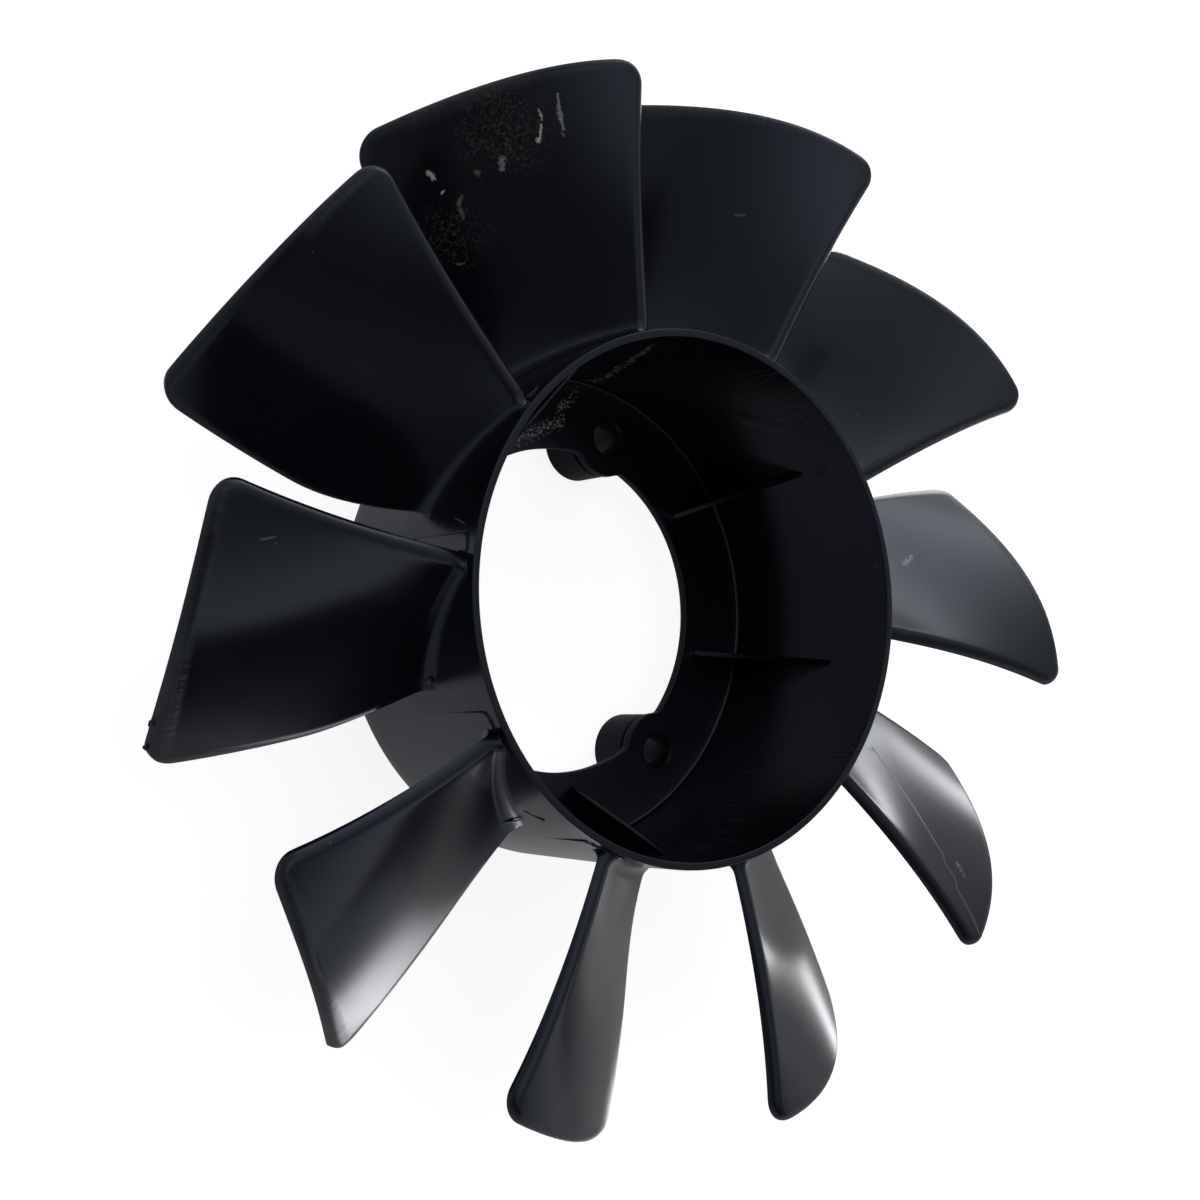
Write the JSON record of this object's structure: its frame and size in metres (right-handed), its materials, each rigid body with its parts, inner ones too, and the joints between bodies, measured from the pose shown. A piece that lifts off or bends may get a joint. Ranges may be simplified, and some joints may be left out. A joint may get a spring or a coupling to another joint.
{
  "type": "axial cooling fan wheel",
  "caption": "Moulded axial fan wheel: twisted blades on an open drum, with a flange, bolt bosses and gussets at its back.",
  "frame": {"origin": "centre of the bolting plane, at the ends of the three bosses", "axes": "+Z is the spin axis and points out of the open front of the drum; the first bolt hole lies 69 degrees from +X toward +Y"},
  "size_m": [0.3194, 0.3212, 0.0954],
  "materials": {
    "fan_wheel": "satin black moulded plastic"
  },
  "bodies": {
    "root": {"fan_wheel": "fan_wheel"}
  },
  "joints": []
}
